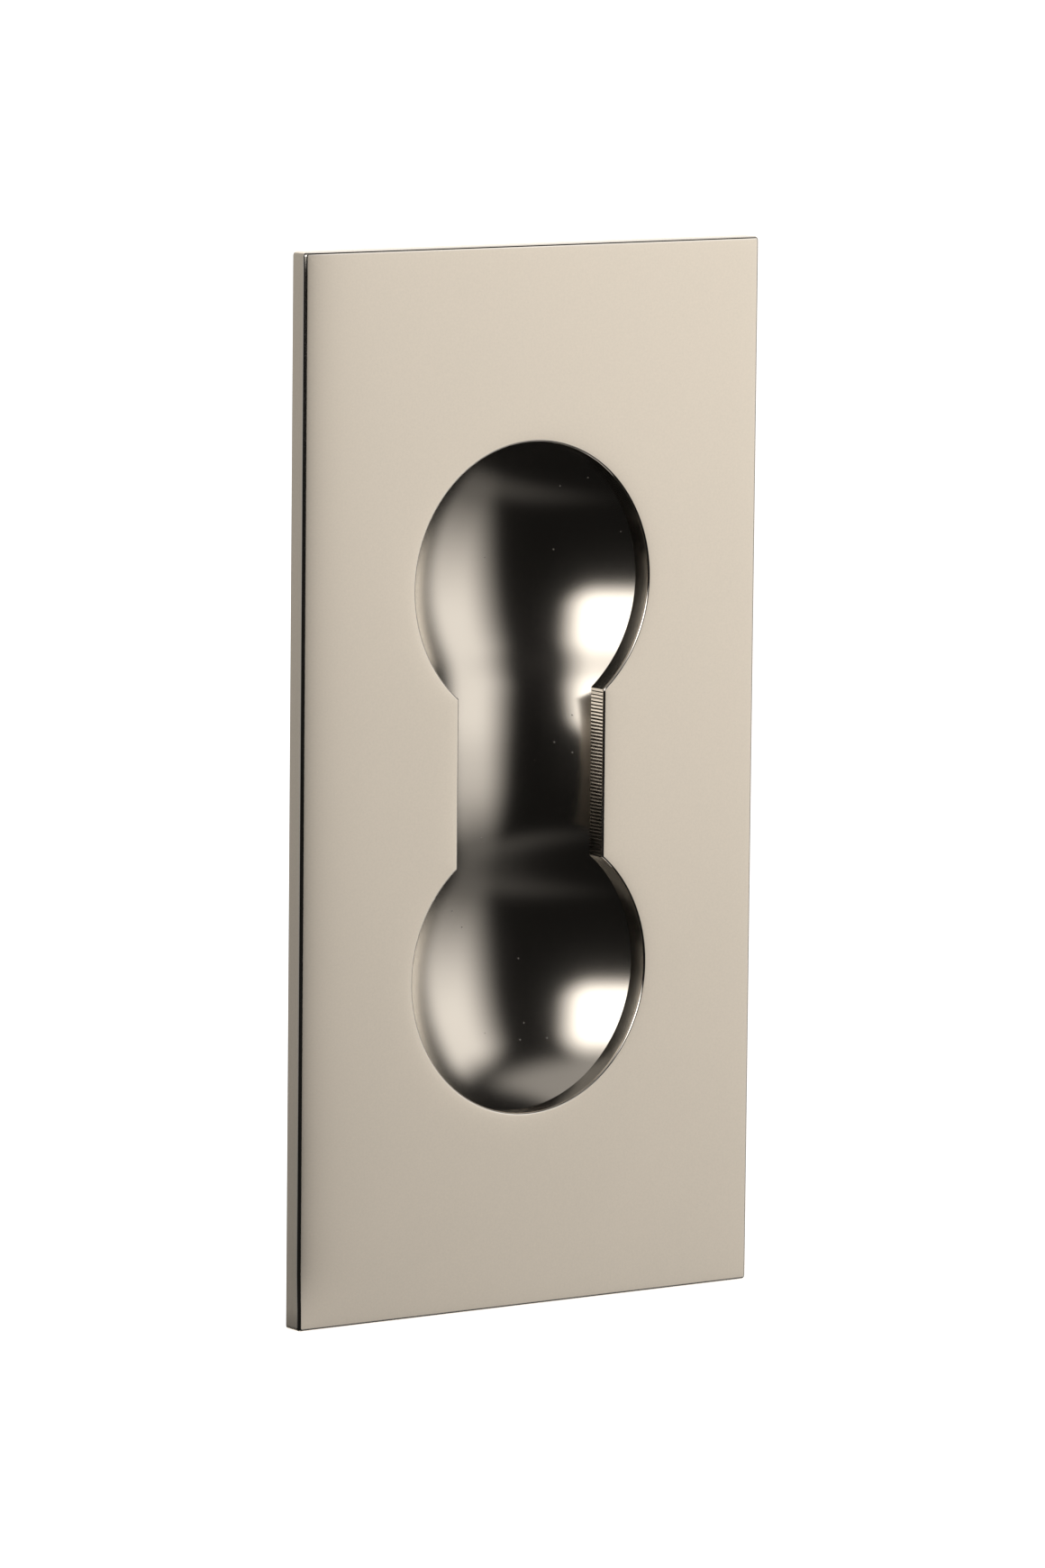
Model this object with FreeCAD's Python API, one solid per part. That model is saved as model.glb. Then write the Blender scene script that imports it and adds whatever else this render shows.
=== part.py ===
# Flush pull for a pocket door: a rectangular face plate with a dumbbell cut-out,
# a smooth dished cup joined to its back, and two studs that hold it in the door.
# The cup's mouth is wider than the cut-out, so the plate's edge makes a lip to pull on.
# Millimetres. X is across the plate, Z is up and Y runs into the door.
# The origin is the centre of the plate's back, in the plane of that back.
import FreeCAD, Part
import math
import os

# Face plate
PLATE_HEIGHT = 152.4
PLATE_WIDTH = 78.6
PLATE_THICKNESS = 3.2
PLATE_CORNER_RADIUS = 0.6
EDGE_ROUNDING = 0.35

# Cut-out through the plate: two round ends joined by a narrower slot
END_RADIUS = 20.2
END_SPACING = 55.9
SLOT_WIDTH = 25.2
CUTOUT_CHAMFER = 0.28

# Cup behind the plate, with its depths counted from the plate's back
BOWL_RADIUS = 36.8
BOWL_DEPTH = 13.8
TROUGH_RADIUS = 30.8
TROUGH_DEPTH = 8.8
SADDLE_RADIUS = 34.0
CUP_SHEET = 1.2
FLANGE_WIDTH = 4.5

# Fixing studs, brazed to the plate's back above and below the cup
STUD_INSET = 7.7
STUD_RADIUS = 2.5
STUD_LENGTH = 18.0
STUD_TIP_CHAMFER = 0.6
STUD_CLEARANCE = 1.0

# Values that follow from the ones above
HALF_SPACING = END_SPACING / 2
HALF_SLOT = SLOT_WIDTH / 2
END_HEIGHTS = (HALF_SPACING, -HALF_SPACING)
UPPER_STUD_HEIGHT = PLATE_HEIGHT / 2 - STUD_INSET
STUD_HEIGHTS = (UPPER_STUD_HEIGHT, -UPPER_STUD_HEIGHT)
PLATE_FRONT = -PLATE_THICKNESS
INTO_DOOR = FreeCAD.Vector(0, 1, 0)
UP = FreeCAD.Vector(0, 0, 1)

# Cutting tools and filled forms run this far past the faces that trim them
OVERRUN = 2.0
# The balls that sweep the saddles keep within this share of the way from a bowl to the middle
SADDLE_SHARE = 0.98
# Shapes closer than this count as touching when edges are picked
TOUCH = 0.01


def mouth_radius(radius, depth):
    """Half width, in the plane of the plate's back, of an arc that is this deep behind it."""
    return math.sqrt(radius**2 - (radius - depth) ** 2)


def block(half_x, y_low, y_high, half_z):
    """Box centred on the Y axis."""
    corner = FreeCAD.Vector(-half_x, y_low, -half_z)
    return Part.makeBox(2 * half_x, y_high - y_low, 2 * half_z, corner)


def disc(radius, height, y_low, y_high):
    """Round bar along Y, with its axis at this height."""
    foot = FreeCAD.Vector(0, y_low, height)
    return Part.makeCylinder(radius, y_high - y_low, foot, INTO_DOOR)


def two_ended(end_radius, half_waist, y_low, y_high):
    """Prism with two round ends joined by a straight waist."""
    ends = [disc(end_radius, height, y_low, y_high) for height in END_HEIGHTS]
    waist = block(half_waist, y_low, y_high, HALF_SPACING)
    return waist.multiFuse(ends).removeSplitter()


def edges_at(shape, y):
    """Edges that lie in the plane at this Y."""
    flat = []
    for edge in shape.Edges:
        box = edge.BoundBox
        if abs(box.YMin - y) < TOUCH and abs(box.YMax - y) < TOUCH:
            flat.append(edge)
    return flat


def edges_within(edges, half_x, half_z):
    """Edges that keep inside a rectangle centred on the Y axis."""
    kept = []
    for edge in edges:
        box = edge.BoundBox
        inside_x = max(box.XMax, -box.XMin) < half_x - TOUCH
        inside_z = max(box.ZMax, -box.ZMin) < half_z - TOUCH
        if inside_x and inside_z:
            kept.append(edge)
    return kept


def face_plate():
    """Plate with rounded corners, rounded front edges and the chamfered dumbbell cut-out."""
    half_width = PLATE_WIDTH / 2
    half_height = PLATE_HEIGHT / 2
    plate = block(half_width, PLATE_FRONT, 0, half_height)
    corners = [e for e in plate.Edges if e.BoundBox.YLength > PLATE_THICKNESS / 2]
    plate = plate.makeFillet(PLATE_CORNER_RADIUS, corners)
    plate = plate.makeFillet(EDGE_ROUNDING, edges_at(plate, PLATE_FRONT))
    cutter = two_ended(END_RADIUS, HALF_SLOT, PLATE_FRONT - OVERRUN, OVERRUN)
    plate = plate.cut(cutter)
    flat_width = half_width - EDGE_ROUNDING
    flat_height = half_height - EDGE_ROUNDING
    rim = edges_within(edges_at(plate, PLATE_FRONT), flat_width, flat_height)
    return plate.makeChamfer(CUTOUT_CHAMFER, rim)


def saddle_radius():
    """Radius of the saddles, kept small enough that they don't meet halfway up the trough.

    Each saddle is swept by a ball that rolls along a ridge, on the bowl's ball and on the
    trough's bar. The ball keeps clear of the middle at the foot of the trough, where the
    bar faces straight in, and at the trimmed front, where the bar's face has turned.
    """
    farthest = SADDLE_SHARE * HALF_SPACING
    axis_step = (TROUGH_DEPTH - TROUGH_RADIUS) - (BOWL_DEPTH - BOWL_RADIUS)
    turned = (TROUGH_RADIUS - TROUGH_DEPTH - OVERRUN) / TROUGH_RADIUS
    radii = [SADDLE_RADIUS]
    for cosine in (1, turned):
        room = farthest**2 + TROUGH_RADIUS**2 - BOWL_RADIUS**2 + axis_step**2
        room += 2 * axis_step * TROUGH_RADIUS * cosine
        radii.append(room / 2 / (BOWL_RADIUS - TROUGH_RADIUS - axis_step * cosine))
    return min(radii)


def dish_form(growth):
    """Filled form of the dish: two ball ends, a round-bottomed trough and rolled saddles.

    Growth swells every face by the same amount, so the two sides of the sheet stay parallel.
    """
    reach = PLATE_HEIGHT
    behind = block(reach, -OVERRUN, reach, reach)
    bar_start = FreeCAD.Vector(0, TROUGH_DEPTH - TROUGH_RADIUS, -HALF_SPACING)
    form = Part.makeCylinder(TROUGH_RADIUS + growth, END_SPACING, bar_start, UP).common(behind)
    for height in END_HEIGHTS:
        centre = FreeCAD.Vector(0, BOWL_DEPTH - BOWL_RADIUS, height)
        form = form.fuse(Part.makeSphere(BOWL_RADIUS + growth, centre).common(behind))
    form = form.removeSplitter()
    ridges = [e for e in form.Edges if is_ridge(e)]
    return form.makeFillet(saddle_radius() - growth, ridges)


def is_ridge(edge):
    """A ridge between a bowl and the trough arches across X and dips to the trimmed front."""
    box = edge.BoundBox
    starts_at_front = abs(box.YMin + OVERRUN) < TOUCH
    arches = box.YLength > OVERRUN and box.XLength > HALF_SLOT
    return starts_at_front and arches


def recess_cup():
    """Pressed cup: a sheet of even thickness with a flat flange all round its mouth.

    The sheet gives way to the studs wherever it would come nearer than their clearance.
    """
    reach = PLATE_HEIGHT
    skin = dish_form(CUP_SHEET).common(block(reach, 0, reach, reach))
    flange_end = mouth_radius(BOWL_RADIUS, BOWL_DEPTH) + FLANGE_WIDTH
    flange = two_ended(flange_end, flange_end, 0, CUP_SHEET)
    cup = flange.fuse(skin).removeSplitter().cut(dish_form(0))
    room = STUD_RADIUS + STUD_CLEARANCE
    return cup.cut([disc(room, height, -OVERRUN, STUD_LENGTH) for height in STUD_HEIGHTS])


def stud(height):
    """Plain headless stud, brazed to the plate by its flat end."""
    shank = disc(STUD_RADIUS, height, 0, STUD_LENGTH)
    return shank.makeChamfer(STUD_TIP_CHAMFER, edges_at(shank, STUD_LENGTH))


def single_solid(shape):
    """The one solid that a shape holds."""
    (solid,) = shape.Solids
    return solid


def main():
    pieces = {
        "face_plate": face_plate(),
        "recess_cup": recess_cup(),
        "upper_stud": stud(UPPER_STUD_HEIGHT),
        "lower_stud": stud(-UPPER_STUD_HEIGHT),
    }
    os.makedirs("parts", exist_ok=True)
    for name, shape in pieces.items():
        single_solid(shape).exportStep("parts/" + name + ".step")


main()
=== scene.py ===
# Looks of the flush pull: a satin nickel plate, the polished dish behind its cut-out and the
# threaded studs at its back, in a white studio with two softboxes and a dark front.
# Metres. X is across the plate, Z is up and Y runs into the door.
import math

import bmesh
import bpy
import numpy as np
from mathutils import Matrix, Vector


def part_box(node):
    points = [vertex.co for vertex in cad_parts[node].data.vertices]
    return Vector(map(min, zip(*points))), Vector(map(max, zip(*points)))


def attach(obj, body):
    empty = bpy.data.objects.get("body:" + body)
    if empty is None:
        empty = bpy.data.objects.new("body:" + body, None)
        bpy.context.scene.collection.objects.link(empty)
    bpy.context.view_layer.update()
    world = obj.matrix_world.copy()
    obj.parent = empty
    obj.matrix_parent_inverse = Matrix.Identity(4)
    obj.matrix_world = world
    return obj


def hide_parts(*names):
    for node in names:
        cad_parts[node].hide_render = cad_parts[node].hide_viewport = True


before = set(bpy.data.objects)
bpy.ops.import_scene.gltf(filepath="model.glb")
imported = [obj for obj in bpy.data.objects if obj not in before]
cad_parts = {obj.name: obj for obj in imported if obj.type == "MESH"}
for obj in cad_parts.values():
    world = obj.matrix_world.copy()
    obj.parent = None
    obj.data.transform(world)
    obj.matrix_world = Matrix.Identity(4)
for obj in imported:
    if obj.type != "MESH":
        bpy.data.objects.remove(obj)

MM = 0.001
GOLDEN_ANGLE = math.pi * (3 - math.sqrt(5))
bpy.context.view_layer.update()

# Plate, from the frame
PLATE_LOW, PLATE_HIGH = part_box("face_plate")
HALF_WIDTH = PLATE_HIGH.x
HALF_HEIGHT = PLATE_HIGH.z
THICKNESS = -PLATE_LOW.y

# Cup, from the frame
CUP_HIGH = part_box("recess_cup")[1]
FLANGE_END = CUP_HIGH.x
HALF_SPACING = CUP_HIGH.z - CUP_HIGH.x
CUP_SHEET = 1.2 * MM
BOWL_DEPTH = CUP_HIGH.y - CUP_SHEET

# Edges and cut-out of the plate
CORNER_RADIUS = 0.6 * MM
SHARPEST_CORNER = 0.02 * MM
EDGE_ROUNDING = 0.45 * MM
END_RADIUS = 20.2 * MM
HALF_SLOT = 12.6 * MM
CUTOUT_ROUNDING = 0.28 * MM
# Polishing wears more off the face near its edges: pairs of the drop at the edge and its reach inwards
LEFT_WEAR = ((0.24 * MM, 2.8 * MM), (0.03 * MM, 0.4 * MM))
OTHER_WEAR = ((0.02 * MM, 2.0 * MM), (0.02 * MM, 0.4 * MM))
CUTOUT_WEAR = ((0.05 * MM, 1.5 * MM), (0.02 * MM, 0.4 * MM))
# The left edge's wear comes in over this height above the lower corner
WEAR_START = 9.0 * MM
EDGE_INSET = 14.0 * MM
CUTOUT_INSET = 5.0 * MM
# The rings of the worn face crowd towards the edge by this power
WEAR_CROWDING = 2.2

# Dish
BOWL_RADIUS = 36.8 * MM
TROUGH_RADIUS = 30.8 * MM
TROUGH_DEPTH = 8.8 * MM
SADDLE_RADIUS = 34.0 * MM
# Pressing and polishing soften the change of curve within this distance of a saddle's edge
DISH_SOFTENING = 3.6 * MM
SOFTENING_SPOTS = 16
# The turns round the trough are searched between these limits, by this many steps
LARGEST_SINE = 0.99
TURN_MARGIN = 1e-3
SADDLE_SEARCH_STEPS = 40
MOUTH_SEARCH_STEPS = 45
TINY = 1e-9

# Fine relief and specks of the metals
GRAIN_DEPTH = 0.02 * MM
DRIFT_SCALE = 45.0
DRIFT_DETAIL = 3.0
SPECKLE_SCALE = 3200.0
FEED_PITCH = 0.5 * MM
FEED_DEPTH = 0.03 * MM
FEED_WANDER = 0.6
DUST_SPACING = 3.2 * MM
DUST_SIZE = 0.11 * MM
DUST_COLOUR = (0.36, 0.33, 0.29, 1)
# A wave texture runs through this many radians a unit at scale one
WAVE_UNIT = 20.0
# All of a noise lies in the first range, and a metal's two colours and two roughnesses belong to
# the ends of the other two
NOISE_RANGE = (0.2, 0.8)
TINT_RANGE = (0.35, 0.65)
GLOSS_RANGE = (0.3, 0.7)

# Each metal: dark colour, light colour, lowest and highest roughness, scale of the grain, how far
# it is drawn out along X, Y and Z, its strength, and the share of fine specks in the colour
EVEN = (1, 1, 1)
ALONG_SLOT = (0.02, 0.02, 1)
ROUND_THE_WALL = (1, 0.05, 1)
METALS = {
    "satin_nickel": ((0.79, 0.70, 0.58), (0.86, 0.76, 0.63), (0.285, 0.315), 9000.0, EVEN, 0.1, 0.35),
    "milled_nickel": ((0.51, 0.485, 0.45), (0.55, 0.525, 0.49), (0.1, 0.16), 1800.0, ALONG_SLOT, 0.25, 0),
    "turned_nickel": ((0.48, 0.465, 0.435), (0.52, 0.505, 0.475), (0.1, 0.14), 1800.0, ROUND_THE_WALL, 0.35, 0),
    "edge_nickel": ((0.66, 0.61, 0.54), (0.70, 0.64, 0.57), (0.07, 0.10), 9000.0, EVEN, 0.03, 0),
    "back_nickel": ((0.58, 0.57, 0.555), (0.62, 0.61, 0.595), (0.45, 0.55), 6000.0, EVEN, 0.2, 0),
    "dish_nickel": ((0.56, 0.505, 0.435), (0.58, 0.525, 0.455), (0.145, 0.165), 9000.0, EVEN, 0.05, 0),
    "stud_steel": ((0.55, 0.55, 0.55), (0.62, 0.62, 0.62), (0.25, 0.35), 3000.0, EVEN, 0.2, 0),
}
# Places of the plate's metals in its list
PLATE_METALS = ("satin_nickel", "milled_nickel", "turned_nickel", "edge_nickel", "back_nickel")
FACE, SLOT_WALL, ROUND_WALL, EDGE, BACK = range(len(PLATE_METALS))

# Softboxes: light's name, strength, margins at the left, right, low and high edges, reach of its
# turn and of its lift, distance, and reach of the turn along the upper edge where the card leans
SOFTBOXES = {
    "key_softbox": ("key_light", 3.4, (0.1, 0.32, 0.3, 0.4), (-65, -11), (0, 41), 1.5, (-74, -2)),
    "side_softbox": ("side_light", 1.36, (0.5, 0.28, 0.7, 0.15), (14, 66), (-45, 36), 1.5, (14, 60)),
    "ceiling": ("ceiling_light", 0.46, (0.1, 0.2, 0.28, 0.3), (-80, 62), (33, 72), 1.55, (-80, -5)),
    "low_band": ("low_light", 0.1, (0.85, 0.2, 0.5, 0.5), (-50, 70), (-45, -30), 1.55, (-50, 70)),
    "grey_side": ("side_grey", 0.42, (0.1, 0.1, 0.25, 0.1), (-165, -100), (-24, 60), 1.6, (-165, -100)),
}
# Dark flags: material, reach of the turn and of the lift, and distance
FLAG_GLOW = 0.01
FLAGS = {
    "dark_front": ("flag_black", (-85, 74), (-75, 85), 1.6),
    "dark_side": ("side_black", (-170, -85), (-75, 85), 1.65),
}
CARD_STEPS = 12
# Light of the white room on the part, beside the cards
ROOM_LIGHT = 0.4
FLOOR_COLOUR = (0.8, 0.8, 0.8, 1)

# Fineness of the meshes
OUTLINE_ARC = 150
OUTLINE_SIDE = 60
ROUNDING_STEPS = 8
WEAR_STEPS = 14
DISH_TURNS = 480
DISH_RINGS = 150
STUD_SIDES = 48
ROWS_PER_THREAD = 10

# Threads of the studs
THREAD_PITCH = 0.8 * MM
THREAD_DEPTH = 0.43 * MM
NECK_LENGTH = 1.6 * MM
BRAZE_HEIGHT = 0.5 * MM
STUD_TIP_CHAMFER = 0.6 * MM
# A thread's flank rises by the slope from the root and is cut off at its crest
THREAD_TOP = 1.35
THREAD_SLOPE = 2.4


def new_piece(name, points, faces, materials, face_materials=None, sharp=30):
    """Mesh object with smooth faces, and crisp edges where it turns by more than sharp degrees."""
    mesh = bpy.data.meshes.new(name)
    mesh.from_pydata([tuple(p) for p in points], [], faces)
    for material in materials:
        mesh.materials.append(material)
    if face_materials is not None:
        mesh.polygons.foreach_set("material_index", face_materials)
    mesh.update()
    mesh.shade_smooth()
    mesh.set_sharp_from_angle(angle=math.radians(sharp))
    piece = bpy.data.objects.new(name, mesh)
    bpy.context.scene.collection.objects.link(piece)
    return piece


def strip(first, second):
    """Quads between two closed rings of point numbers."""
    count = len(first)
    pairs = [(i, (i + 1) % count) for i in range(count)]
    return [(first[i], first[after], second[after], second[i]) for i, after in pairs]


def rectangle_outline(inset):
    """Closed outline of the plate, moved inwards by inset. Columns are X and Z."""
    half_x = HALF_WIDTH - inset
    half_z = HALF_HEIGHT - inset
    radius = max(CORNER_RADIUS - inset, SHARPEST_CORNER)
    turns = np.linspace(0, math.pi / 2, ROUNDING_STEPS)
    outline = []
    for quarter in range(4):
        side_x = (1, -1, -1, 1)[quarter]
        side_z = (1, 1, -1, -1)[quarter]
        centre = np.array([side_x * (half_x - radius), side_z * (half_z - radius)])
        angles = turns + quarter * math.pi / 2
        arc = centre + radius * np.stack([np.cos(angles), np.sin(angles)], 1)
        outline.append(arc)
        ahead = (quarter + 1) % 4
        next_x = (1, -1, -1, 1)[ahead]
        next_z = (1, 1, -1, -1)[ahead]
        next_centre = np.array([next_x * (half_x - radius), next_z * (half_z - radius)])
        turn = angles[-1]
        start = arc[-1]
        end = next_centre + radius * np.array([math.cos(turn), math.sin(turn)])
        share = np.linspace(0, 1, OUTLINE_SIDE + 2)[1:-1, None]
        outline.append(start + share * (end - start))
    return np.concatenate(outline)


def cutout_outline(offset):
    """Closed outline of the cut-out, moved into the metal by offset. Columns are X and Z."""
    radius = END_RADIUS + offset
    half_slot = HALF_SLOT + offset
    start = -math.acos(half_slot / radius)
    angles = np.linspace(start, math.pi - start, OUTLINE_ARC)
    upper = np.stack([radius * np.cos(angles), HALF_SPACING + radius * np.sin(angles)], 1)
    corner = upper[-1]
    share = np.linspace(0, 1, OUTLINE_SIDE + 2)[1:-1, None]
    left = corner + share * (corner * (1, -1) - corner)
    return np.concatenate([upper, left, -upper, -left])


def rounded_profile(rounding, inset):
    """Steps from the wall over the rounding to the face: inset from the edge and depth from the back."""
    turns = np.linspace(0, math.pi / 2, ROUNDING_STEPS)
    insets = list(rounding * (1 - np.cos(turns)))
    heights = list(THICKNESS - rounding * (1 - np.sin(turns)))
    spread = np.linspace(0, 1, WEAR_STEPS + 1)[1:] ** WEAR_CROWDING
    insets += list(rounding + (inset - rounding) * spread)
    heights += [THICKNESS] * WEAR_STEPS
    return list(zip(insets, heights))


def wear(distance, amounts):
    """How much polishing has taken off the face at this distance from an edge."""
    return sum(drop * np.exp(-distance / reach) for drop, reach in amounts)


def worn_away(outline):
    """Wear of the plate's face near its four edges, for points with X and Z as columns."""
    x, z = outline.T
    rise = np.clip((z + HALF_HEIGHT) / WEAR_START, 0, 1)
    worn = rise**2 * (3 - 2 * rise) * wear(HALF_WIDTH + x, LEFT_WEAR)
    for distance in (HALF_WIDTH - x, HALF_HEIGHT + z, HALF_HEIGHT - z):
        worn = worn + wear(distance, OTHER_WEAR)
    return worn


def add_ring(points, outline, y):
    """Adds a ring of points at this depth, or at one depth for each point, and gives their numbers."""
    first = len(points)
    depths = np.broadcast_to(y, len(outline))
    points.extend((x, depth, z) for (x, z), depth in zip(outline, depths))
    return list(range(first, first + len(outline)))


def fill_between(points, outer, inner):
    """Triangles of the flat band between two rings."""
    work = bmesh.new()
    numbers = outer + inner
    corners = [work.verts.new(points[n]) for n in numbers]
    edges = []
    for start, ring in ((0, outer), (len(outer), inner)):
        count = len(ring)
        for i in range(count):
            edges.append(work.edges.new((corners[start + i], corners[start + (i + 1) % count])))
    bmesh.ops.triangle_fill(work, use_beauty=True, edges=edges)
    work.verts.index_update()
    faces = [tuple(numbers[v.index] for v in f.verts) for f in work.faces]
    work.free()
    return faces


def face_along(points, faces, direction):
    """Turns each flat face so that its normal points along this direction."""
    turned = []
    for face in faces:
        a, b, c = (Vector(points[n]) for n in face[:3])
        normal = (b - a).cross(c - a)
        turned.append(face if normal.dot(direction) > 0 else tuple(reversed(face)))
    return turned


def plate_piece(materials):
    """Plate with rounded edges, a slightly worn-down face near them and the dumbbell cut-out."""
    points = []
    faces = []
    face_materials = []
    outer_back = add_ring(points, rectangle_outline(0), 0)
    outer = [outer_back]
    for inset, height in rounded_profile(EDGE_ROUNDING, EDGE_INSET):
        outline = rectangle_outline(inset)
        outer.append(add_ring(points, outline, -height + worn_away(outline)))
    for lower, upper in zip(outer, outer[1:]):
        faces += strip(lower, upper)
    around = len(outer_back)
    rounded = range(around, around * ROUNDING_STEPS)
    face_materials += [EDGE if number in rounded else FACE for number in range(len(faces))]

    inner_back = add_ring(points, cutout_outline(0), 0)
    inner = [inner_back]
    for inset, height in rounded_profile(CUTOUT_ROUNDING, CUTOUT_INSET):
        worn = height - wear(inset, CUTOUT_WEAR)
        inner.append(add_ring(points, cutout_outline(inset), -worn))
    slot_sides = set(range(OUTLINE_ARC - 1, OUTLINE_ARC + OUTLINE_SIDE))
    slot_sides |= {i + OUTLINE_ARC + OUTLINE_SIDE for i in slot_sides}
    for step, (lower, upper) in enumerate(zip(inner, inner[1:])):
        faces += [tuple(reversed(quad)) for quad in strip(lower, upper)]
        if step == 0:
            face_materials += [SLOT_WALL if i in slot_sides else ROUND_WALL for i in range(len(lower))]
        else:
            face_materials += [EDGE if step < ROUNDING_STEPS else FACE] * len(lower)

    front = face_along(points, fill_between(points, outer[-1], inner[-1]), Vector((0, -1, 0)))
    back = face_along(points, fill_between(points, outer_back, inner_back), Vector((0, 1, 0)))
    faces += front + back
    face_materials += [FACE] * len(front) + [BACK] * len(back)
    return new_piece("satin_plate", points, faces, materials, face_materials)


def ball_path(theta):
    """Centres of the ball that sweeps a saddle, as X, Y and Z for each turn theta round the trough."""
    bar_axis = TROUGH_DEPTH - TROUGH_RADIUS
    step = bar_axis - (BOWL_DEPTH - BOWL_RADIUS)
    reach = TROUGH_RADIUS + SADDLE_RADIUS
    square = (BOWL_RADIUS + SADDLE_RADIUS) ** 2 - reach**2 - step**2
    square = square - 2 * step * reach * np.cos(theta)
    return reach * np.sin(theta), bar_axis + reach * np.cos(theta), HALF_SPACING - np.sqrt(square)


def dish_depth(x, z, growth):
    """Depth of the dish behind the plate's back, or of its outer side where growth is the sheet."""
    x = np.abs(x)
    z = np.abs(z)
    ball = BOWL_RADIUS + growth
    bar = TROUGH_RADIUS + growth
    rolling = SADDLE_RADIUS - growth
    square = ball**2 - x**2 - (z - HALF_SPACING) ** 2
    bowl = BOWL_DEPTH - BOWL_RADIUS + np.sqrt(np.maximum(square, 0))
    trough = TROUGH_DEPTH - TROUGH_RADIUS + np.sqrt(np.maximum(bar**2 - x**2, 0))
    depth = np.where(z < HALF_SPACING, np.maximum(bowl, trough), bowl)
    share = ball / (BOWL_RADIUS + SADDLE_RADIUS)
    reach = TROUGH_RADIUS + SADDLE_RADIUS
    turn_bar = np.arcsin(np.minimum(x / bar, LARGEST_SINE))
    turn_ball = np.arcsin(np.minimum(x / share / reach, LARGEST_SINE))
    start = ball_path(turn_bar)[2]
    end = HALF_SPACING + share * (ball_path(turn_ball)[2] - HALF_SPACING)
    saddle = (z > start) & (z < end)
    limits = turn_ball[saddle], turn_bar[saddle]
    depth[saddle] = saddle_depth(x[saddle], z[saddle], rolling, *limits)
    return depth


def saddle_depth(x, z, rolling, low, high):
    """Depth of a saddle: the least that any ball of its sweep leaves at each point."""
    low = low - TURN_MARGIN
    high = high + TURN_MARGIN
    golden = (math.sqrt(5) - 1) / 2

    def under_ball(theta):
        centre_x, centre_y, centre_z = ball_path(theta)
        square = rolling**2 - (x - centre_x) ** 2 - (z - centre_z) ** 2
        return centre_y - np.sqrt(np.maximum(square, 0))

    for _ in range(SADDLE_SEARCH_STEPS):
        width = golden * (high - low)
        left = high - width
        right = low + width
        go_left = under_ball(left) < under_ball(right)
        high = np.where(go_left, right, high)
        low = np.where(go_left, low, left)
    return under_ball((low + high) / 2)


def softened_depth(x, z, growth):
    """Depth of the dish, softened inside by averaging over a small round patch; plain outside."""
    if growth > 0:
        return dish_depth(x, z, growth)
    total = 0
    for spot in range(SOFTENING_SPOTS):
        distance = DISH_SOFTENING * math.sqrt((spot + 0.5) / SOFTENING_SPOTS)
        angle = spot * GOLDEN_ANGLE
        aside, up = distance * math.cos(angle), distance * math.sin(angle)
        total = total + dish_depth(x + aside, z + up, 0)
    return total / SOFTENING_SPOTS


def mouth_reach(angles, level, growth):
    """How far from the middle the dish comes up to this level, for each direction in that plane."""
    near = np.full_like(angles, HALF_SLOT)
    far = np.full_like(angles, HALF_SPACING + BOWL_RADIUS)
    for _ in range(MOUTH_SEARCH_STEPS):
        middle = (near + far) / 2
        inside = softened_depth(middle * np.cos(angles), middle * np.sin(angles), growth) > level
        near = np.where(inside, middle, near)
        far = np.where(inside, far, middle)
    return (near + far) / 2


def flange_reach(angles):
    """How far from the middle the flange's edge lies, for each direction in the plate's plane."""
    across = np.abs(np.cos(angles))
    up = np.abs(np.sin(angles))
    to_side = FLANGE_END / np.maximum(across, TINY)
    square = FLANGE_END**2 - (HALF_SPACING * across) ** 2
    to_end = HALF_SPACING * up + np.sqrt(np.maximum(square, 0))
    return np.where(to_side * up < HALF_SPACING, to_side, to_end)


def dish_side(points, level, growth, angles):
    """Rings of one side of the sheet, from the middle out to the flange at this level."""
    reach = mouth_reach(angles, level, growth)
    points.append((0, float(softened_depth(np.zeros(1), np.zeros(1), growth)[0]), 0))
    middle = len(points) - 1
    rings = []
    for ring in range(1, DISH_RINGS + 1):
        distance = reach * ring / DISH_RINGS
        x = distance * np.cos(angles)
        z = distance * np.sin(angles)
        y = softened_depth(x, z, growth)
        if ring == DISH_RINGS:
            y = np.full_like(y, level)
        first = len(points)
        points.extend(zip(x, y, z))
        rings.append(list(range(first, first + len(angles))))
    faces = [(middle, rings[0][(i + 1) % len(angles)], rings[0][i]) for i in range(len(angles))]
    for inner, outer in zip(rings, rings[1:]):
        faces += strip(outer, inner)
    return rings[-1], faces


def cup_piece(material):
    """Pressed cup of even sheet with its flat flange, one closed shell."""
    angles = np.linspace(0, 2 * math.pi, DISH_TURNS, endpoint=False)
    points = []
    mouth, dish = dish_side(points, 0, 0, angles)
    outer_mouth, outside = dish_side(points, CUP_SHEET, CUP_SHEET, angles)
    edge = flange_reach(angles)
    outline = np.stack([edge * np.cos(angles), edge * np.sin(angles)], 1)
    front_edge = add_ring(points, outline, 0)
    back_edge = add_ring(points, outline, CUP_SHEET)
    faces = dish + [tuple(reversed(face)) for face in outside]
    faces += strip(front_edge, mouth)
    faces += strip(back_edge, front_edge)
    faces += strip(outer_mouth, back_edge)
    return new_piece("dished_cup", points, faces, [material], sharp=25)


def thread_radius(y, turn, radius, length):
    """Radius of a stud at this height and turn: brazed foot, neck, thread and chamfered tip."""
    root = radius - THREAD_DEPTH
    phase = np.mod(y / THREAD_PITCH - turn / (2 * math.pi), 1)
    ridge = np.clip(THREAD_TOP - THREAD_SLOPE * np.abs(2 * phase - 1), 0, 1)
    start = np.clip((y - NECK_LENGTH) / THREAD_PITCH, 0, 1)
    shank = root + THREAD_DEPTH * ridge * start
    rise = np.clip(1 - y / BRAZE_HEIGHT, 0, 1)
    foot = root + THREAD_DEPTH * rise**2
    return np.minimum(np.maximum(shank, foot), radius - STUD_TIP_CHAMFER + (length - y))


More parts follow.
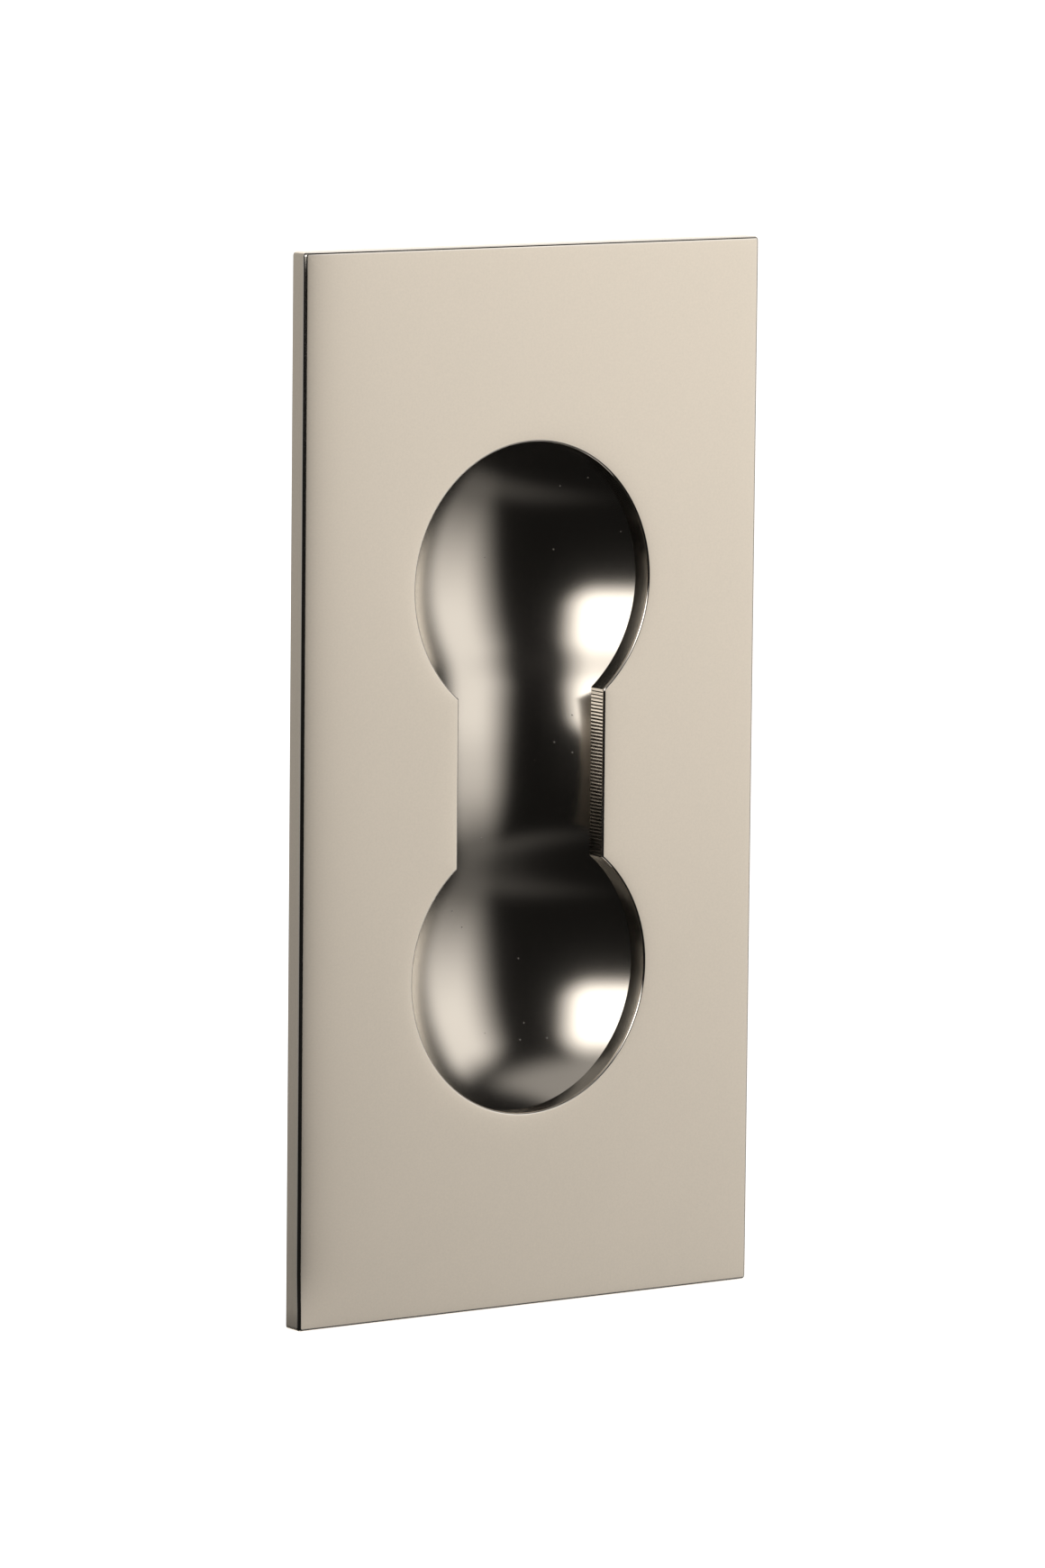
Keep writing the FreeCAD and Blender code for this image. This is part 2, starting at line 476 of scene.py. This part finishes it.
def stud_piece(node, material):
    """Threaded stud with a brazed foot, in the box of its node."""
    low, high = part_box(node)
    radius = (high.x - low.x) / 2
    axis_x = (high.x + low.x) / 2
    axis_z = (high.z + low.z) / 2
    length = high.y
    turns = np.linspace(0, 2 * math.pi, STUD_SIDES, endpoint=False)
    rows = round(length / THREAD_PITCH * ROWS_PER_THREAD)
    points = []
    rings = []
    for y in np.linspace(0, length, rows + 1):
        size = thread_radius(y, turns, radius, length)
        outline = np.stack([axis_x + size * np.cos(turns), axis_z + size * np.sin(turns)], 1)
        rings.append(add_ring(points, outline, y))
    faces = [rings[0], rings[-1][::-1]]
    for lower, upper in zip(rings, rings[1:]):
        faces += [tuple(reversed(quad)) for quad in strip(lower, upper)]
    return new_piece("threaded_" + node, points, faces, [material], sharp=50)


def node_tree(material):
    """Empty node tree of a material, with its output node."""
    material.use_nodes = True
    tree = material.node_tree
    tree.nodes.clear()
    return tree, tree.nodes.new("ShaderNodeOutputMaterial")


def noise(tree, place, scale, detail=2.0):
    """Noise texture at these coordinates."""
    texture = tree.nodes.new("ShaderNodeTexNoise")
    texture.inputs["Scale"].default_value = scale
    texture.inputs["Detail"].default_value = detail
    tree.links.new(place, texture.inputs["Vector"])
    return texture.outputs["Fac"]


def beyond(low, high, part):
    """Values at the ends of the noise's range, of a line from low to high over part of it."""
    slope = (high - low) / (part[1] - part[0])
    return low - slope * (part[0] - NOISE_RANGE[0]), high + slope * (NOISE_RANGE[1] - part[1])


def metal(name, dark, light, roughness, grain, grain_stretch, bump, speckle):
    """Metal whose colour and gloss drift a little, with a fine grain that breaks up reflections."""
    material = bpy.data.materials.new(name)
    tree, output = node_tree(material)
    new = tree.nodes.new
    link = tree.links.new
    shader = new("ShaderNodeBsdfPrincipled")
    shader.inputs["Metallic"].default_value = 1.0
    place = new("ShaderNodeTexCoord").outputs["Object"]
    drift = noise(tree, place, DRIFT_SCALE, DRIFT_DETAIL)
    mixed = new("ShaderNodeMix")
    mixed.inputs["Factor"].default_value = speckle
    link(drift, mixed.inputs["A"])
    link(noise(tree, place, SPECKLE_SCALE), mixed.inputs["B"])
    tint = new("ShaderNodeValToRGB")
    colours = zip(*[beyond(low, high, TINT_RANGE) for low, high in zip(dark, light)])
    for element, position, colour in zip(tint.color_ramp.elements, NOISE_RANGE, colours):
        element.position = position
        element.color = (*colour, 1)
    link(mixed.outputs["Result"], tint.inputs["Fac"])
    link(tint.outputs["Color"], shader.inputs["Base Color"])
    gloss = new("ShaderNodeMapRange")
    ends = NOISE_RANGE + beyond(*roughness, GLOSS_RANGE)
    for socket, value in zip(("From Min", "From Max", "To Min", "To Max"), ends):
        gloss.inputs[socket].default_value = value
    link(drift, gloss.inputs["Value"])
    link(gloss.outputs["Result"], shader.inputs["Roughness"])
    stretch = new("ShaderNodeMapping")
    stretch.inputs["Scale"].default_value = grain_stretch
    link(place, stretch.inputs["Vector"])
    relief = new("ShaderNodeBump")
    relief.inputs["Strength"].default_value = bump
    relief.inputs["Distance"].default_value = GRAIN_DEPTH
    link(noise(tree, stretch.outputs["Vector"], grain), relief.inputs["Height"])
    link(relief.outputs["Normal"], shader.inputs["Normal"])
    link(shader.outputs["BSDF"], output.inputs["Surface"])
    return material


def add_feed_marks(material):
    """Lays the evenly spaced marks of a milling cutter across the slot's walls, under the grain."""
    tree = material.node_tree
    place = tree.nodes.new("ShaderNodeTexCoord")
    marks = tree.nodes.new("ShaderNodeTexWave")
    marks.bands_direction = "Z"
    marks.inputs["Scale"].default_value = 2 * math.pi / (WAVE_UNIT * FEED_PITCH)
    marks.inputs["Distortion"].default_value = FEED_WANDER
    relief = tree.nodes.new("ShaderNodeBump")
    relief.inputs["Distance"].default_value = FEED_DEPTH
    tree.links.new(place.outputs["Object"], marks.inputs["Vector"])
    tree.links.new(marks.outputs["Fac"], relief.inputs["Height"])
    grain = next(node for node in tree.nodes if node.type == "BUMP" and node is not relief)
    tree.links.new(relief.outputs["Normal"], grain.inputs["Normal"])


def add_dust(material):
    """Scatters a few pale specks of dust over a metal."""
    tree = material.node_tree
    new = tree.nodes.new
    link = tree.links.new
    place = new("ShaderNodeTexCoord")
    cells = new("ShaderNodeTexVoronoi")
    cells.inputs["Scale"].default_value = 1 / DUST_SPACING
    link(place.outputs["Object"], cells.inputs["Vector"])
    near = new("ShaderNodeMath")
    near.operation = "LESS_THAN"
    near.inputs[1].default_value = DUST_SIZE / DUST_SPACING
    link(cells.outputs["Distance"], near.inputs[0])
    speck = new("ShaderNodeBsdfDiffuse")
    speck.inputs["Color"].default_value = DUST_COLOUR
    both = new("ShaderNodeMixShader")
    link(near.outputs["Value"], both.inputs["Fac"])
    output = next(node for node in tree.nodes if node.type == "OUTPUT_MATERIAL")
    link(output.inputs["Surface"].links[0].from_socket, both.inputs[1])
    link(speck.outputs["BSDF"], both.inputs[2])
    link(both.outputs["Shader"], output.inputs["Surface"])


def glow(name, strength):
    """Plain card that sends out an even light."""
    material = bpy.data.materials.new(name)
    tree, output = node_tree(material)
    light = tree.nodes.new("ShaderNodeEmission")
    light.inputs["Strength"].default_value = strength
    tree.links.new(light.outputs["Emission"], output.inputs["Surface"])
    return material


def soft_glow(name, strength, margins):
    """Light with rounded, softly fading margins that adds to what is behind its card.

    The margins are the shares of the card's width and height over which the light comes up from
    its left, right, lower and upper edges.
    """
    material = bpy.data.materials.new(name)
    tree, output = node_tree(material)
    new = tree.nodes.new
    link = tree.links.new
    place = new("ShaderNodeTexCoord")
    parts = new("ShaderNodeSeparateXYZ")
    link(place.outputs["UV"], parts.inputs["Vector"])
    into = new("ShaderNodeCombineXYZ")
    left, right, low, high = margins
    for axis, first, last in (("X", left, right), ("Y", low, high)):
        both = new("ShaderNodeMath")
        both.operation = "ADD"
        for side, (full_at, dark_at) in enumerate(((first, 0), (1 - last, 1))):
            margin = new("ShaderNodeMapRange")
            margin.inputs["From Min"].default_value = full_at
            margin.inputs["From Max"].default_value = dark_at
            link(parts.outputs[axis], margin.inputs["Value"])
            link(margin.outputs["Result"], both.inputs[side])
        link(both.outputs["Value"], into.inputs[axis])
    distance = new("ShaderNodeVectorMath")
    distance.operation = "LENGTH"
    link(into.outputs["Vector"], distance.inputs[0])
    level = new("ShaderNodeMapRange")
    level.interpolation_type = "SMOOTHSTEP"
    level.inputs["To Min"].default_value = strength
    level.inputs["To Max"].default_value = 0.0
    link(distance.outputs["Value"], level.inputs["Value"])
    light = new("ShaderNodeEmission")
    link(level.outputs["Result"], light.inputs["Strength"])
    clear = new("ShaderNodeBsdfTransparent")
    total = new("ShaderNodeAddShader")
    link(light.outputs["Emission"], total.inputs[0])
    link(clear.outputs["BSDF"], total.inputs[1])
    link(total.outputs["Shader"], output.inputs["Surface"])
    return material


def studio_card(name, turn, lift, distance, material, turn_high):
    """Curved card round the object, in degrees. Turn is from straight ahead of the face towards +X.

    A card may lean: turn_high is its reach to the left and right along its upper edge.
    """
    steps = CARD_STEPS
    points = []
    places = []
    for row in range(steps + 1):
        up = row / steps
        height = math.radians(lift[0] + up * (lift[1] - lift[0]))
        first, last = (low + up * (high - low) for low, high in zip(turn, turn_high))
        for column in range(steps + 1):
            across = column / steps
            round_ = math.radians(first + across * (last - first))
            flat = distance * math.cos(height)
            rise = distance * math.sin(height)
            points.append((flat * math.sin(round_), -flat * math.cos(round_), rise))
            places.append((across, up))
    faces = []
    for row in range(steps):
        for column in range(steps):
            corner = row * (steps + 1) + column
            faces.append((corner, corner + 1, corner + steps + 2, corner + steps + 1))
    card = new_piece(name, points, faces, [material])
    layer = card.data.uv_layers.new(name="card")
    for loop in card.data.loops:
        layer.data[loop.index].uv = places[loop.vertex_index]
    card.visible_camera = False
    card.visible_shadow = False


def studio_white(name):
    """White that the camera and the metal see as background, and that light falls on softly."""
    material = bpy.data.materials.new(name)
    tree, output = node_tree(material)
    link = tree.links.new
    path = tree.nodes.new("ShaderNodeLightPath")
    seen = tree.nodes.new("ShaderNodeMath")
    seen.operation = "MAXIMUM"
    link(path.outputs["Is Camera Ray"], seen.inputs[0])
    link(path.outputs["Is Glossy Ray"], seen.inputs[1])
    through = tree.nodes.new("ShaderNodeMath")
    through.operation = "MAXIMUM"
    link(seen.outputs["Value"], through.inputs[0])
    link(path.outputs["Is Transmission Ray"], through.inputs[1])
    glow_part = tree.nodes.new("ShaderNodeEmission")
    link(through.outputs["Value"], glow_part.inputs["Strength"])
    paint = tree.nodes.new("ShaderNodeBsdfDiffuse")
    paint.inputs["Color"].default_value = FLOOR_COLOUR
    both = tree.nodes.new("ShaderNodeAddShader")
    link(glow_part.outputs["Emission"], both.inputs[0])
    link(paint.outputs["BSDF"], both.inputs[1])
    link(both.outputs["Shader"], output.inputs["Surface"])
    return material


def studio_world():
    """World that is white as a background and a plain level as light."""
    world = bpy.data.worlds.new("studio")
    bpy.context.scene.world = world
    world.use_nodes = True
    tree = world.node_tree
    tree.nodes.clear()
    output = tree.nodes.new("ShaderNodeOutputWorld")
    background = tree.nodes.new("ShaderNodeBackground")
    background.inputs["Color"].default_value = (1, 1, 1, 1)
    path = tree.nodes.new("ShaderNodeLightPath")
    seen = tree.nodes.new("ShaderNodeMath")
    seen.operation = "MAXIMUM"
    through = tree.nodes.new("ShaderNodeMath")
    through.operation = "MAXIMUM"
    level = tree.nodes.new("ShaderNodeMapRange")
    level.inputs["To Min"].default_value = ROOM_LIGHT
    level.inputs["To Max"].default_value = 1.0
    link = tree.links.new
    link(path.outputs["Is Camera Ray"], seen.inputs[0])
    link(path.outputs["Is Glossy Ray"], seen.inputs[1])
    link(seen.outputs["Value"], through.inputs[0])
    link(path.outputs["Is Transmission Ray"], through.inputs[1])
    link(through.outputs["Value"], level.inputs["Value"])
    link(level.outputs["Result"], background.inputs["Strength"])
    link(background.outputs["Background"], output.inputs["Surface"])


def camera():
    """Camera at the photograph's place, aim and length."""
    place = Vector((-0.73125, -1.03524, 0.15982))
    aim = Vector((-0.00156, -0.0032, -0.00063))
    roll = 0.00999
    data = bpy.data.cameras.new("view")
    data.sensor_width = 36.0
    data.lens = 205.5
    data.clip_start = 0.05
    data.clip_end = 50.0
    view = bpy.data.objects.new("view", data)
    bpy.context.scene.collection.objects.link(view)
    forward = (aim - place).normalized()
    right = forward.cross(Vector((0, 0, 1))).normalized()
    up = right.cross(forward)
    tilted_right = math.cos(roll) * right + math.sin(roll) * up
    tilted_up = -math.sin(roll) * right + math.cos(roll) * up
    turn = Matrix((tilted_right, tilted_up, -forward)).transposed()
    view.matrix_world = Matrix.Translation(place) @ turn.to_4x4()
    bpy.context.scene.camera = view


def floor_piece(material):
    """Pale floor well below the object, curved up into a backdrop far behind it."""
    level = -1.6
    back = 3.0
    bend = 1.0
    profile = [(-4.0, level), (0.0, level)]
    for angle in np.linspace(0, math.pi / 2, 17):
        profile.append((back + bend * math.sin(angle), level + bend * (1 - math.cos(angle))))
    profile.append((back + bend, 4.0))
    points = []
    for y, z in profile:
        points += [(-5.0, y, z), (5.0, y, z)]
    faces = [(2 * i, 2 * i + 1, 2 * i + 3, 2 * i + 2) for i in range(len(profile) - 1)]
    floor = new_piece("floor", points, faces, [material])


def dress_part(metals):
    """Makes the pieces that show in place of the solids."""
    plate = plate_piece([metals[name] for name in PLATE_METALS])
    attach(plate, "root")
    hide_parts("face_plate")

    cup = cup_piece(metals["dish_nickel"])
    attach(cup, "root")
    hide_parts("recess_cup")

    for node in ("upper_stud", "lower_stud"):
        stud = stud_piece(node, metals["stud_steel"])
        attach(stud, "root")
        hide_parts(node)


def light_studio():
    """Sets up the white room, the softboxes and the dark flags between them."""
    studio_world()
    floor_piece(studio_white("studio_white"))
    for name, (light, strength, margins, turn, lift, distance, turn_high) in SOFTBOXES.items():
        studio_card(name, turn, lift, distance, soft_glow(light, strength, margins), turn_high)
    for name, (black, turn, lift, distance) in FLAGS.items():
        studio_card(name, turn, lift, distance, glow(black, FLAG_GLOW), turn)


def main():
    bpy.context.scene.view_settings.view_transform = "Standard"
    metals = {name: metal(name, *values) for name, values in METALS.items()}
    add_feed_marks(metals["milled_nickel"])
    add_dust(metals["dish_nickel"])
    dress_part(metals)
    light_studio()
    camera()


main()
